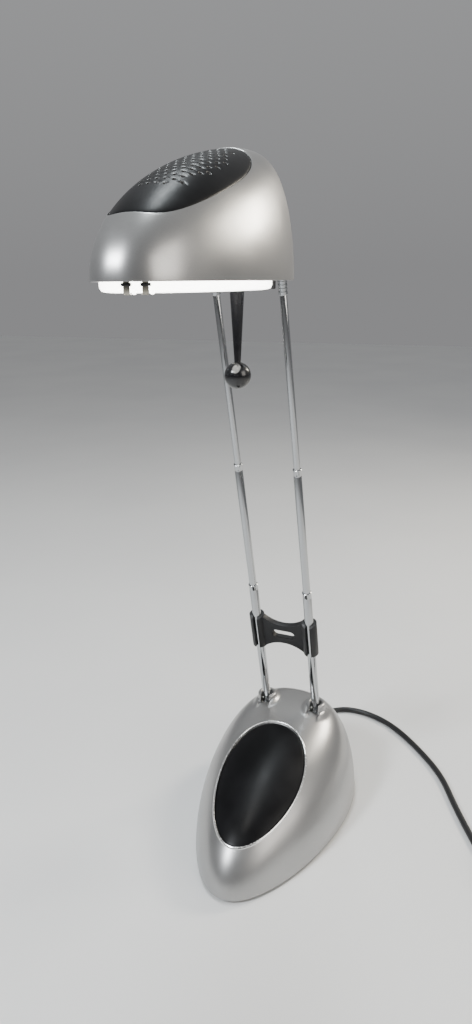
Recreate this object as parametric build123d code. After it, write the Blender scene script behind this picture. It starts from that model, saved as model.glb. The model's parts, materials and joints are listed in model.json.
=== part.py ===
"""Architect desk lamp: egg-shaped base and head joined by two telescopic arms.

Millimetres, +Z up, the noses of base and head point to -Y.
Origin: on the table plane, below the pivot line of the two arms.
The arms carry the 12 V supply, so no lead runs beside them.
"""
from build123d import *
from math import atan2, cos, degrees, hypot, pi, radians, sin, tan
import os

os.makedirs("parts", exist_ok=True)

# ---- driving dimensions: base -------------------------------------------------
BASE_NOSE = 158.0
BASE_REAR = 52.5
BASE_HALF_WIDTH = 62.0
BASE_BOTTOM_Z = 2.5
BASE_HEIGHT = 77.5
BASE_WALL = 2.5
BASE_INSERT = {"front": -138.0, "back": -31.0, "half": 33.4, "skew": 0.18, "power": 1.0}
PLATE_Z = 1.6
PLATE_THICK = 2.4
FOOT_POINTS = [(0.0, 0.0), (0.0, -132.0), (44.0, -36.0), (-44.0, -36.0), (28.0, 34.0), (-28.0, 34.0)]
POST_POINTS = [(42.0, -62.0), (-42.0, -62.0), (38.0, 12.0), (-38.0, 12.0)]

# ---- driving dimensions: arms -------------------------------------------------
ARM_X = 23.0
PIVOT_Z = 75.5
LEAN = 14.4
LOWER_OD, LOWER_ID = 7.2, 6.6
MIDDLE_OD, MIDDLE_ID = 6.0, 5.4
UPPER_OD, UPPER_ID = 4.8, 4.2
LOWER_TOP = 133.4
MIDDLE_BOTTOM, MIDDLE_TOP = 108.4, 245.4
UPPER_BOTTOM, UPPER_TOP = 220.4, 370.4
TIP = 384.6
PIN_D = 3.0
RUNNING = 0.05

# ---- driving dimensions: head -------------------------------------------------
HEAD_NOSE = 133.0
HEAD_REAR = 46.0
HEAD_HALF_WIDTH = 39.4
HEAD_HEIGHT = 73.0
HEAD_WALL = 1.8
RIM_BELOW_PIVOT = 6.0
PIVOT_FROM_HEAD_ORIGIN = 23.0
HEAD_INSERT = {"front": -115.5, "back": -9.5, "half": 26.2, "skew": 0.09, "power": 0.6}
VENT_D = 2.2
VENT_PITCH_Y = 5.0
VENT_PITCH_X = 4.4
VENT_FIELD = (18.0, 38.0)
VENT_FIELD_Y = -58.0
GLASS_PLAN = {"front": -129.5, "back": 17.0, "half": 35.0, "skew": 0.12, "power": 1.0}
GLASS_DROP = 5.0
GLASS_WALL = 2.4
HANDLE_Y = 7.0
HANDLE_LENGTH = 44.5
BALL_D = 17.0

# ---- driving dimensions: cord -------------------------------------------------
CORD_D = 5.4
COIL_CENTRE = (222.8, -56.9)
COIL_MID_R = 30.0
COIL_BUNDLE_WIDTH = 3 * CORD_D
COIL_BUNDLE_HEIGHT = 2.75 * CORD_D
CORD_ROUTE = [
    (0.0, 74.0, 10.0), (-1.0, 92.0, 4.4), (8.5, 109.0, 2.8), (25.5, 118.5, 2.8),
    (49.0, 117.0, 2.8), (75.0, 105.0, 2.8), (103.0, 79.0, 2.8), (131.0, 46.0, 2.8),
    (149.0, 6.0, 2.8), (170.0, -33.0, 2.8), (191.6, -73.5, 2.8),
]
TAIL_ROUTE = [(258.2, -57.0, 8.0), (260.0, -36.0, 3.6), (258.0, -12.0, 3.4), (252.0, 10.0, 6.9)]

LEAN_RAD = radians(LEAN)
ARM_DIR = Vector(0, -sin(LEAN_RAD), cos(LEAN_RAD))
HEAD_PIVOT = (0, -TIP * sin(LEAN_RAD), PIVOT_Z + TIP * cos(LEAN_RAD))
HEAD_PITCH = -0.9

BASE_EGG = {
    "nose": BASE_NOSE, "rear": BASE_REAR, "half": BASE_HALF_WIDTH, "height": BASE_HEIGHT,
    "apex": 15.5, "q_nose": 1.62, "q_rear": 1.65, "q_side": 2.85, "skew": 0.26, "power": 1.0,
}
HEAD_EGG = {
    "nose": HEAD_NOSE, "rear": HEAD_REAR, "half": HEAD_HALF_WIDTH, "height": HEAD_HEIGHT,
    "apex": 6.3, "q_nose": 1.4, "q_rear": 4.4, "q_side": 2.22, "skew": 0.117, "power": 0.815,
}
REFLECTOR_EGG = {
    "nose": 56.0, "rear": 50.0, "half": 27.0, "height": 34.0,
    "apex": 0.0, "q_nose": 2.0, "q_rear": 2.0, "q_side": 2.0, "skew": 0.05, "power": 1.0,
}


# ---- egg shapes ---------------------------------------------------------------
def egg_outline(front, back, half, skew, power=1.0, points=28):
    """Closed plan outline: a pointed oval between front and back, symmetric about X = 0."""
    centre = (front + back) / 2
    reach = (back - front) / 2
    ring = []
    for i in range(points):
        turn = 2 * pi * (i + 0.5) / points
        side = sin(turn)
        width = half * abs(side) ** power * (1 - skew * cos(turn))
        ring.append((width if side > 0 else -width, centre - reach * cos(turn)))
    return make_face(Spline(*ring, periodic=True))


def egg_section(egg, climb, inset):
    """Horizontal section of an egg dome where the climb angle runs from 0 to 90 degrees."""
    left = cos(radians(climb)) ** 2
    apex = egg["apex"]
    front = apex - (apex + egg["nose"] - inset) * left ** (1 / egg["q_nose"])
    back = apex + (egg["rear"] - inset - apex) * left ** (1 / egg["q_rear"])
    half = (egg["half"] - inset) * left ** (1 / egg["q_side"])
    height = (egg["height"] - inset) * sin(radians(climb))
    return Pos(0, 0, height) * egg_outline(front, back, half, egg["skew"], egg["power"])


def egg_dome(egg, inset=0.0):
    """Solid dome lofted through its horizontal sections, flat side on z = 0."""
    climbs = [0, 11, 22, 33, 44, 54, 63, 71, 78, 84]
    return loft([egg_section(egg, climb, inset) for climb in climbs])


def prism(plan, low, high, grow=0.0):
    """Vertical prism over an insert's plan outline."""
    front, back, half = plan["front"] - grow, plan["back"] + grow, plan["half"] + grow
    face = egg_outline(front, back, half, plan["skew"], plan["power"])
    return Pos(0, 0, low) * extrude(face, high - low)


def slab(egg, inset, low, high):
    """Flat plate with the plan outline of an egg dome."""
    face = egg_section(egg, 0, inset)
    return Pos(0, 0, low) * extrude(face, high - low)


# ---- placing helpers ----------------------------------------------------------
def on_arm(side, distance):
    """Frame on an arm: Z along the arm, at a distance above the base pivot."""
    start = Vector(side * ARM_X, 0, PIVOT_Z) + ARM_DIR * distance
    return Location(Plane(origin=start, x_dir=(1, 0, 0), z_dir=ARM_DIR))


def cylinder(radius, low, high):
    return Pos(0, 0, (low + high) / 2) * Cylinder(radius, high - low)


def cross_cylinder(radius, low, high, y=0.0, z=0.0):
    """Cylinder along X between two X values."""
    return Pos((low + high) / 2, y, z) * Rot(0, 90, 0) * Cylinder(radius, high - low)


def block(x, y, z, low_corner):
    """Box of size x, y, z with its lowest corner at low_corner."""
    return Pos(*low_corner) * Box(x, y, z, align=(Align.MIN, Align.MIN, Align.MIN))


def save(node, shape):
    """Write one node; a group of separate pieces is written as a compound of its solids."""
    solids = shape.solids()
    body = solids[0] if len(solids) == 1 else Compound(children=list(solids))
    body.label = node
    export_step(body, f"parts/{node}.step")
    return body


# ---- base ---------------------------------------------------------------------
base_at = Pos(0, 0, BASE_BOTTOM_Z)
base_solid = base_at * egg_dome(BASE_EGG)
base_hollow = base_at * egg_dome(BASE_EGG, BASE_WALL)

BOSS_R = 8.5
BOSS_TOP = PIVOT_Z + 8.0
BOSS_FLOOR = PIVOT_Z - 5.7
FLANGE_Z = PIVOT_Z - 14.0
SLOT_WIDTH = 7.8


def arm_socket(side):
    """Raised collar with a fore-and-aft slot; its flange and thread sit under the shell."""
    body = cylinder(BOSS_R, FLANGE_Z, BOSS_TOP)
    body = fillet(body.edges().sort_by(Axis.Z)[-1:], 2.5)
    body += cylinder(11.0, FLANGE_Z, FLANGE_Z + 3)
    body += cylinder(7.0, FLANGE_Z - 10, FLANGE_Z)
    body -= block(SLOT_WIDTH, 40, 30, (-SLOT_WIDTH / 2, -20, BOSS_FLOOR))
    body -= cross_cylinder(PIN_D / 2, -12, 12, 0, PIVOT_Z)
    return Pos(side * ARM_X, 0, 0) * body


def pivot_pin(side):
    return Pos(side * ARM_X, 0, 0) * cross_cylinder(PIN_D / 2, -7.6, 7.6, 0, PIVOT_Z)


def socket_nut(side):
    ring = Pos(0, 0, FLANGE_Z - 8) * extrude(RegularPolygon(11, 6, major_radius=True), 6)
    return Pos(side * ARM_X, 0, 0) * (ring - cylinder(7.0, FLANGE_Z - 9, FLANGE_Z - 1))


SWITCH_TILT = 13.0
SWITCH_AT = Pos(0, 49.2, 32.0) * Rot(-90 + SWITCH_TILT, 0, 0)


def switch_body():
    """Bezel and box of the rocker switch; local +Z points out of the base."""
    bezel = Pos(0, 0, 0.6) * Box(23, 15, 3.2)
    bezel = fillet(bezel.edges().filter_by(Axis.Z), 1.6)
    box = Pos(0, 0, -8.0) * Box(19.5, 12.6, 14.0)
    return SWITCH_AT * (bezel + box - Pos(0, 0, 0.2) * Box(17.0, 9.8, 8.0))


def switch_rocker():
    """Rocker pressed on one side, on a hinge along the local Y axis of the bezel."""
    key = Pos(0, 0, 1.0) * Box(16.0, 9.0, 3.4)
    key = fillet(key.edges().filter_by(Axis.Y), 1.0)
    key += Rot(90, 0, 0) * Cylinder(2.2, 9.0)
    return SWITCH_AT * Rot(0, 6, 0) * key


base_shell = base_solid - base_hollow
base_shell -= prism(BASE_INSERT, 10, 90)
for x, y in POST_POINTS:
    post = Pos(x, y, 0) * cylinder(4.0, PLATE_Z + PLATE_THICK, 90)
    base_shell += post & base_solid
    base_shell -= Pos(x, y, 0) * cylinder(1.3, 0, 22)
for side in (-1, 1):
    base_shell -= Pos(side * ARM_X, 0, 0) * cylinder(BOSS_R, 60, 90)
switch_opening = Pos(0, 0, 0.6) * Box(23, 15, 3.2) + Pos(0, 0, -8.0) * Box(19.5, 12.6, 14.0)
base_shell -= SWITCH_AT * switch_opening
GLAND_Z = 10.0
base_shell -= Pos(0, 50, GLAND_Z) * Rot(90, 0, 0) * Cylinder(4.2, 14)

insert_skin = base_at * egg_dome(BASE_EGG, 0.5) - base_at * egg_dome(BASE_EGG, 2.9)
base_insert = insert_skin & prism(BASE_INSERT, 10, 90, -0.15)

base_plate = slab(BASE_EGG, BASE_WALL + 0.4, PLATE_Z, PLATE_Z + PLATE_THICK)
for x, y in POST_POINTS:
    base_plate -= Pos(x, y, 0) * cylinder(1.7, 0, 6)
    base_plate -= Pos(x, y, 0) * cylinder(3.1, 0, PLATE_Z + 1.4)

base_screws = Compound(children=[
    Pos(x, y, 0) * (cylinder(3.0, PLATE_Z, PLATE_Z + 1.4) + cylinder(1.3, PLATE_Z, 20))
    for x, y in POST_POINTS
])
rubber_feet = Compound(children=[Pos(x, y, 0) * cylinder(6.0, 0, PLATE_Z) for x, y in FOOT_POINTS])

PLATE_TOP = PLATE_Z + PLATE_THICK
CORE_Y = -38.0
core = Pos(0, CORE_Y, PLATE_TOP + 2 + 20) * Box(54, 32, 40)
window = Pos(0, CORE_Y, PLATE_TOP + 2 + 20) * Box(36, 40, 24)
limb = Pos(0, CORE_Y, PLATE_TOP + 2 + 20) * Box(16, 32, 24)
transformer_core = core - window + limb
winding = Pos(0, CORE_Y, PLATE_TOP + 2 + 20) * Box(35, 50, 23.4)
winding = fillet(winding.edges().filter_by(Axis.Z), 5)
transformer_coil = winding - Pos(0, CORE_Y, PLATE_TOP + 22) * Box(16.4, 32.4, 30)
transformer_bracket = block(76, 20, 2, (-38, CORE_Y - 10, PLATE_TOP))
bracket_screws = Compound(children=[
    Pos(x, CORE_Y, 0) * (cylinder(2.8, PLATE_TOP + 2, PLATE_TOP + 4.2)) for x in (-33, 33)
])
terminal_block = block(30, 12, 12, (-15, 6, PLATE_TOP))
for x in (-9, 0, 9):
    terminal_block -= Pos(x, 12, 0) * cylinder(2.0, PLATE_TOP + 6, PLATE_TOP + 13)

gland_out = Pos(0, 61.5, GLAND_Z) * Rot(-90, 0, 0) * Cone(5.6, 3.7, 25)
gland_neck = Pos(0, 49.0, GLAND_Z) * Rot(-90, 0, 0) * Cylinder(4.2, 10)
cord_gland = gland_out + gland_neck
base_shell -= gland_out


# ---- telescopic arms ----------------------------------------------------------
def tube(outer_d, inner_d, low, high):
    return cylinder(outer_d / 2, low, high) - cylinder(inner_d / 2, low - 1, high + 1)


def lower_arm(side):
    """Lower tube with its rolled lip."""
    body = tube(LOWER_OD, LOWER_ID, 6, LOWER_TOP)
    body += tube(LOWER_OD, MIDDLE_OD + 2 * RUNNING, LOWER_TOP - 2.4, LOWER_TOP)
    return on_arm(side, 0) * body


def arm_eye(side):
    """Eye on the base pivot with a spigot pressed into the lower tube."""
    body = cross_cylinder(4.6, -3.5, 3.5)
    body += cylinder(LOWER_ID / 2, 0, 18)
    body += cylinder(3.4, 2, 6)
    body -= cross_cylinder(PIN_D / 2 + RUNNING, -5, 5)
    return on_arm(side, 0) * body


def middle_arm(side):
    body = tube(MIDDLE_OD, MIDDLE_ID, MIDDLE_BOTTOM, MIDDLE_TOP)
    body += tube(MIDDLE_OD, UPPER_OD + 2 * RUNNING, MIDDLE_TOP - 2.4, MIDDLE_TOP)
    return on_arm(side, 0) * body


def sleeve(side, outer_id, inner_od, start):
    """Split brass sleeve crimped on the bottom of the inner tube; it rubs in the outer tube."""
    body = tube(outer_id - 2 * RUNNING, inner_od, start, start + 9)
    body -= block(5, 0.8, 9, (0, -0.4, start + 2.5))
    return on_arm(side, 0) * body


def upper_arm(side):
    return on_arm(side, 0) * tube(UPPER_OD, UPPER_ID, UPPER_BOTTOM, UPPER_TOP)


def arm_tip(side):
    """Grooved ferrule with the eye of the head hinge."""
    body = cylinder(2.9, UPPER_TOP, TIP - 3)
    for groove in (UPPER_TOP + 2.5, UPPER_TOP + 5.0, UPPER_TOP + 7.5):
        body -= tube(7.0, 4.8, groove, groove + 0.9)
    body += cylinder(UPPER_ID / 2, UPPER_TOP - 12, UPPER_TOP + 1)
    body += Pos(0, 0, TIP) * cross_cylinder(3.2, -2.3, 2.3)
    body -= Pos(0, 0, TIP) * cross_cylinder(PIN_D / 2 + RUNNING, -5, 5)
    return on_arm(side, 0) * body


SPACER_AT = 85.0
SPACER_TALL = 33.0
CHANNEL_R = 6.3
CHANNEL_SLIT = 3.4
WAIST_R = 26.0
WAIST_DEPTH = 7.0
WEB_THICK = 5.0
WINDOW_SIZE = (20.0, 8.0)
CHANNEL_SLOPE = 35.0
SLOPE_START_Y = -3.0


def spacer_clip():
    """Black clip: a slit channel round each lower tube and a waisted web with an oval window."""
    web = Box(2 * ARM_X, WEB_THICK, SPACER_TALL)
    for end in (-1, 1):
        waist_z = end * (SPACER_TALL / 2 - WAIST_DEPTH + WAIST_R)
        web -= Pos(0, 0, waist_z) * Rot(90, 0, 0) * Cylinder(WAIST_R, 10)
    window = Rot(90, 0, 0) * extrude(SlotOverall(*WINDOW_SIZE), 10, both=True)
    body = web - window
    for side in (-1, 1):
        body += Pos(side * ARM_X, 0, 0) * Cylinder(CHANNEL_R, SPACER_TALL)
    for side in (-1, 1):
        body -= Pos(side * ARM_X, 0, 0) * Cylinder(LOWER_OD / 2 + RUNNING, SPACER_TALL + 2)
        body -= Pos(side * ARM_X, -5, 0) * Box(CHANNEL_SLIT, 10, SPACER_TALL + 2)
        slope_at = Pos(side * ARM_X, SLOPE_START_Y, SPACER_TALL / 2) * Rot(CHANNEL_SLOPE, 0, 0)
        body -= slope_at * Pos(0, 0, 8) * Box(18, 30, 16)
    return on_arm(0, SPACER_AT) * body


# ---- head (local frame: z = 0 on the rim, y = 0 at the widest part) -----------
head_at = Pos(*HEAD_PIVOT) * Rot(HEAD_PITCH, 0, 0) * Pos(0, -PIVOT_FROM_HEAD_ORIGIN, -RIM_BELOW_PIVOT)
head_solid = egg_dome(HEAD_EGG)
head_hollow = egg_dome(HEAD_EGG, HEAD_WALL)

head_shell = head_solid - head_hollow
head_shell -= prism(HEAD_INSERT, 12, 90)

head_skin = egg_dome(HEAD_EGG, 0.4) - egg_dome(HEAD_EGG, 2.2)
head_insert = head_skin & prism(HEAD_INSERT, 12, 90, -0.15)


def vent_points():
    """Staggered vent pattern inside a blunt oval field of the insert."""
    points = []
    for row in range(-9, 10):
        offset = VENT_PITCH_X / 2 if row % 2 else 0.0
        for column in range(-4, 5):
            x = column * VENT_PITCH_X + offset
            y = row * VENT_PITCH_Y
            if abs(x / VENT_FIELD[0]) ** 2.6 + abs(y / VENT_FIELD[1]) ** 2.6 < 1:
                points.append((x, VENT_FIELD_Y + y))
    return points


vents = [Pos(x, y, 0) * cylinder(VENT_D / 2, 12, 90) for x, y in vent_points()]
head_insert -= vents

REFLECTOR_Y = -60.0
reflector = Pos(0, REFLECTOR_Y, 3) * (egg_dome(REFLECTOR_EGG) - egg_dome(REFLECTOR_EGG, 0.8))
reflector -= block(16, 24, 12, (-8, REFLECTOR_Y + 34, 10))
lamp_holder = block(16, 14, 12, (-8, REFLECTOR_Y + 36, 10))
for x in (-2, 2):
    lamp_holder -= Pos(x, REFLECTOR_Y + 36, 16) * Rot(90, 0, 0) * Cylinder(0.5, 16)
bulb_capsule = Pos(0, REFLECTOR_Y + 20, 16) * Rot(90, 0, 0) * Cylinder(4.7, 26)
bulb_capsule = fillet(bulb_capsule.edges().sort_by(Axis.Y)[0], 4)
bulb_pins = Compound(children=[
    Pos(x, REFLECTOR_Y + 36.5, 16) * Rot(90, 0, 0) * Cylinder(0.5, 7) for x in (-2, 2)
])

glass_outer = prism(GLASS_PLAN, -GLASS_DROP, 2.0)
glass_outer = fillet(glass_outer.edges().sort_by(Axis.Z)[:1], 4.0)
glass_cover = glass_outer - prism(GLASS_PLAN, GLASS_WALL - GLASS_DROP, 3.0, -GLASS_WALL)
glass_cover -= Pos(0, HANDLE_Y, 0) * cylinder(3.2, -8, 3)

CHASSIS_Z = 4.0
hinge_bar = block(39.0, 10.0, 10.0, (-19.5, 18.2, 1.0))
spine = block(12, 12.2, 3, (-6, 6.0, CHASSIS_Z))
handle_boss = Pos(0, HANDLE_Y, 0) * cylinder(5.0, GLASS_WALL - GLASS_DROP, CHASSIS_Z + 3)
head_chassis = hinge_bar + spine + handle_boss
head_chassis += block(14, 36, 3, (-7, -17, 22)) + block(14, 4, 16, (-7, 18.2, 9))
head_chassis -= Pos(0, PIVOT_FROM_HEAD_ORIGIN, RIM_BELOW_PIVOT) * cross_cylinder(PIN_D / 2, -30, -12)
head_chassis -= Pos(0, PIVOT_FROM_HEAD_ORIGIN, RIM_BELOW_PIVOT) * cross_cylinder(PIN_D / 2, 12, 30)
head_chassis -= Pos(0, HANDLE_Y, 0) * cylinder(2.0, -8, 6)
head_pivot_pins = Compound(children=[
    Pos(0, PIVOT_FROM_HEAD_ORIGIN, RIM_BELOW_PIVOT) * cross_cylinder(PIN_D / 2, *ends)
    for ends in ((-25.3, -12), (12, 25.3))
])

handle_top = -GLASS_DROP
handle_rod = Pos(0, HANDLE_Y, handle_top - HANDLE_LENGTH / 2) * Cone(2.1, 4.5, HANDLE_LENGTH)
handle_rod += Pos(0, HANDLE_Y, 0) * cylinder(2.0, handle_top, 5.5)
ball_z = handle_top - HANDLE_LENGTH - BALL_D / 2 + 1.0
handle_ball = Pos(0, HANDLE_Y, ball_z) * Sphere(BALL_D / 2)
handle_rod -= handle_ball

CLIP_TURNS = (0.15, 0.38)


def glass_clip(turn):
    """Flat spring strip that lies on the nose of the glass; turn is measured from the tip."""
    centre = (GLASS_PLAN["front"] + GLASS_PLAN["back"]) / 2
    reach = (GLASS_PLAN["back"] - GLASS_PLAN["front"]) / 2 + 0.35
    x = (GLASS_PLAN["half"] + 0.35) * sin(turn) * (1 - GLASS_PLAN["skew"] * cos(turn))
    tangent = degrees(atan2(reach * sin(turn), GLASS_PLAN["half"] * cos(turn)))
    strip = Pos(0, 0, -0.7) * Box(3.0, 0.5, 8.4)
    return Pos(x, centre - reach * cos(turn), 0) * Rot(0, 0, tangent) * strip


glass_clips = Compound(children=[glass_clip(turn) for turn in CLIP_TURNS])

# ---- cord, coil and plug ------------------------------------------------------
def route_radii(points):
    """Arc radius at each inner corner: as large as its two runs allow."""
    corners = [Vector(*p) for p in points]
    radii = []
    for before, here, after in zip(corners, corners[1:], corners[2:]):
        turn = radians((here - before).get_angle(after - here))
        run = min((here - before).length, (after - here).length)
        radii.append(0.45 * run / tan(turn / 2))
    return radii


def cord_tube(name, points):
    radii = route_radii(points)
    path = FilletPolyline(*points, radius=radii)
    profile = Plane(origin=path @ 0, z_dir=path % 0) * Circle(CORD_D / 2)
    body = sweep(profile, path)
    expected = pi * CORD_D ** 2 / 4 * path.length
    print(f"{name}: length {path.length:.1f}, smallest radius {min(radii):.1f},"
          f" volume ratio {body.volume / expected:.4f}")
    print("  radii", [round(r, 1) for r in radii])
    return body


cord_run = cord_tube("cord_run", CORD_ROUTE)
cord_tail = cord_tube("cord_tail", TAIL_ROUTE)

coil_section = Pos(COIL_MID_R, COIL_BUNDLE_HEIGHT / 2) * RectangleRounded(
    COIL_BUNDLE_WIDTH, COIL_BUNDLE_HEIGHT, 4.0)
coil_ring = revolve(Plane.XZ * coil_section, Axis.Z)
cord_coil = Pos(*COIL_CENTRE, 0) * coil_ring

TIE_WIDTH = 6.0
TIE_THICK = 0.9
tie_outer = Pos(COIL_MID_R, COIL_BUNDLE_HEIGHT / 2 + 0.2) * RectangleRounded(
    COIL_BUNDLE_WIDTH + 1.6, COIL_BUNDLE_HEIGHT + 0.4, 4.4)
tie_inner = Pos(COIL_MID_R, COIL_BUNDLE_HEIGHT / 2 + 0.2) * RectangleRounded(
    COIL_BUNDLE_WIDTH + 1.6 - 2 * TIE_THICK, COIL_BUNDLE_HEIGHT + 0.4 - 2 * TIE_THICK, 3.5)
tie_strap = Rot(0, 0, 90) * extrude(Plane.XZ * (tie_outer - tie_inner), TIE_WIDTH / 2, both=True)
cord_tie = Pos(*COIL_CENTRE, 0) * tie_strap
cord_coil -= cord_tie

PLUG_AT = Pos(252.0, 10.0, 6.9) * Rot(0, 0, 15.0)
plug_solid = Pos(0, 17, 0) * Box(35.3, 34, 13.6)
plug_solid = chamfer(plug_solid.edges().filter_by(Axis.Z).sort_by(Axis.Y)[:2], 11)
plug_body = PLUG_AT * fillet(plug_solid.edges().filter_by(Axis.Z), 2.5)
plug_pins = Compound(children=[
    PLUG_AT * Pos(side * 9.5, 43.5, 0) * Rot(90, 0, 0) * Cylinder(2.0, 19) for side in (-1, 1)
])

# ---- write the nodes ----------------------------------------------------------
nodes = {
    "base_shell": base_shell,
    "base_insert": base_insert,
    "base_plate": base_plate,
    "base_screws": base_screws,
    "rubber_feet": rubber_feet,
    "transformer_core": transformer_core,
    "transformer_coil": transformer_coil,
    "transformer_bracket": transformer_bracket,
    "bracket_screws": bracket_screws,
    "terminal_block": terminal_block,
    "arm_socket_left": arm_socket(-1),
    "arm_socket_right": arm_socket(1),
    "arm_pivot_pins": Compound(children=[pivot_pin(-1), pivot_pin(1)]),
    "socket_nuts": Compound(children=[socket_nut(-1), socket_nut(1)]),
    "switch_housing": switch_body(),
    "switch_rocker": switch_rocker(),
    "cord_gland": cord_gland,
    "lower_tube_left": lower_arm(-1),
    "lower_tube_right": lower_arm(1),
    "arm_eye_left": arm_eye(-1),
    "arm_eye_right": arm_eye(1),
    "spacer_clip": spacer_clip(),
    "middle_tube_left": middle_arm(-1),
    "middle_tube_right": middle_arm(1),
    "middle_sleeves": Compound(children=[
        sleeve(s, LOWER_ID, MIDDLE_OD, MIDDLE_BOTTOM) for s in (-1, 1)]),
    "upper_tube_left": upper_arm(-1),
    "upper_tube_right": upper_arm(1),
    "upper_sleeves": Compound(children=[
        sleeve(s, MIDDLE_ID, UPPER_OD, UPPER_BOTTOM) for s in (-1, 1)]),
    "arm_tip_left": arm_tip(-1),
    "arm_tip_right": arm_tip(1),
    "head_shell": head_at * head_shell,
    "head_insert": head_at * head_insert,
    "reflector": head_at * reflector,
    "lamp_holder": head_at * lamp_holder,
    "bulb_capsule": head_at * bulb_capsule,
    "bulb_pins": head_at * bulb_pins,
    "glass_cover": head_at * glass_cover,
    "glass_clips": head_at * glass_clips,
    "head_chassis": head_at * head_chassis,
    "head_pivot_pins": head_at * head_pivot_pins,
    "handle_rod": head_at * handle_rod,
    "handle_ball": head_at * handle_ball,
    "cord_run": cord_run,
    "cord_tail": cord_tail,
    "cord_coil": cord_coil,
    "cord_tie": cord_tie,
    "plug_body": plug_body,
    "plug_pins": plug_pins,
}
for node, shape in nodes.items():
    save(node, shape)
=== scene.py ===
"""Architect desk lamp: the looks of every piece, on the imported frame. Metres, as the frame."""

import bpy
import bmesh
import json
import numpy as np
from math import atan2, cos, pi, radians, sin
from mathutils import Matrix, Vector
from mathutils.geometry import delaunay_2d_cdt


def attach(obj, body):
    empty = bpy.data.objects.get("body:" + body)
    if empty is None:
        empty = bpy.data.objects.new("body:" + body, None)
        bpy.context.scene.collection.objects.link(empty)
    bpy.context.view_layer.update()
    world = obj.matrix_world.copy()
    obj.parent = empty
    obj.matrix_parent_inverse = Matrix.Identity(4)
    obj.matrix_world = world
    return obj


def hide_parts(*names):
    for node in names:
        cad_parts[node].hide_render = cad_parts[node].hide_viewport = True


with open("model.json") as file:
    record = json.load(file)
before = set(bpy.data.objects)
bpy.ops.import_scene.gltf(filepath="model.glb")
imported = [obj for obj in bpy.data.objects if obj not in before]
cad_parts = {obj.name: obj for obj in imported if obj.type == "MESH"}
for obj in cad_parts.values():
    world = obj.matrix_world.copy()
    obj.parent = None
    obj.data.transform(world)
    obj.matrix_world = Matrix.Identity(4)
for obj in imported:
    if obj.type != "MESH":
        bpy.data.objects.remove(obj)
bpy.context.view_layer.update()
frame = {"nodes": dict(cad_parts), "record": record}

# ---- sizes in millimetres, the same as the CAD part -----------------------------
MM = 0.001
BASE_BOTTOM = 2.5
BASE_EGG = {
    "nose": 158.0, "rear": 52.5, "half": 62.0, "height": 77.5,
    "apex": 15.5, "q_nose": 1.62, "q_rear": 1.65, "q_side": 2.85, "skew": 0.26, "power": 1.0,
}
HEAD_EGG = {
    "nose": 133.0, "rear": 46.0, "half": 39.4, "height": 73.0,
    "apex": 6.3, "q_nose": 1.4, "q_rear": 4.4, "q_side": 2.22, "skew": 0.117, "power": 0.815,
}
BASE_INSERT = {"front": -138.0, "back": -31.0, "half": 33.4, "skew": 0.18, "power": 1.0}
HEAD_INSERT = {"front": -115.5, "back": -9.5, "half": 26.2, "skew": 0.09, "power": 0.6}
GLASS_PLAN = {"front": -129.5, "back": 17.0, "half": 35.0, "skew": 0.12, "power": 1.0}
BASE_WALL = 2.5
HEAD_WALL = 1.8
ARM_X = 23.0
PIVOT_Z = 75.5
LEAN = radians(14.4)
LOWER_OD, LOWER_ID = 7.2, 6.6
MIDDLE_OD, MIDDLE_ID = 6.0, 5.4
UPPER_R, UPPER_BORE_R = 2.4, 2.1
RUNNING = 0.05
TUBE_START = 6.0
LOWER_TOP = 133.4
MIDDLE_BOTTOM, MIDDLE_TOP = 108.4, 245.4
UPPER_BOTTOM, UPPER_TOP = 220.4, 370.4
TIP = 384.6
HEAD_PITCH = radians(-0.9)
PIVOT_IN_HEAD = (23.0, 6.0)
SOCKET_TOP = PIVOT_Z + 8.0
SOCKET_WELL_R = 4.85
SOCKET_NOTCH_HALF = 3.95
FOOT_POINTS = [
    (0.0, 0.0), (0.0, -132.0), (44.0, -36.0), (-44.0, -36.0), (28.0, 34.0), (-28.0, 34.0),
]
FOOT_R = 6.0
PLATE_Z = 1.6
VENT_R = 1.1
VENT_PITCH_X, VENT_PITCH_Y = 4.4, 5.0
VENT_FIELD = (18.0, 38.0)
VENT_FIELD_Y = -58.0
VENT_FIELD_POWER = 2.6
VENT_CHAMFER = 0.22
COVER_THICKNESS = 1.6
CLIP_TURNS = (0.15, 0.38)
HANDLE_Y = 7.0
HANDLE_LENGTH = 44.5
BALL_R = 8.5
GLASS_DROP = 5.0
CORD_D = 5.4
PLUG_AT = (0.252, 0.010, 0.0069)
PLUG_TURN = radians(15)
SHELL_COUNT = 288
COVER_COUNT = 240
VENT_COVER_COUNT = 220
VENT_COUNT = 14
GLASS_COUNT = 200
ARM_DIR = Vector((0, -sin(LEAN), cos(LEAN)))


# ---- egg surface ---------------------------------------------------------------
def plan_points(plan, count, grow=0.0):
    """Points round an insert's plan outline, starting at the nose tip."""
    turn = 2 * pi * np.arange(count) / count
    centre = (plan["front"] + plan["back"]) / 2
    reach = (plan["back"] - plan["front"]) / 2 + grow
    side = np.sign(np.sin(turn)) * np.abs(np.sin(turn)) ** plan["power"]
    x = (plan["half"] + grow) * side * (1 - plan["skew"] * np.cos(turn))
    return np.stack([x, centre - reach * np.cos(turn)], axis=1)


def egg_limits(egg, climb, inset):
    left = np.cos(climb) ** 2
    apex = egg["apex"]
    front = apex - (apex + egg["nose"] - inset) * left ** (1 / egg["q_nose"])
    back = apex + (egg["rear"] - inset - apex) * left ** (1 / egg["q_rear"])
    half = (egg["half"] - inset) * left ** (1 / egg["q_side"])
    return front, back, half


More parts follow.
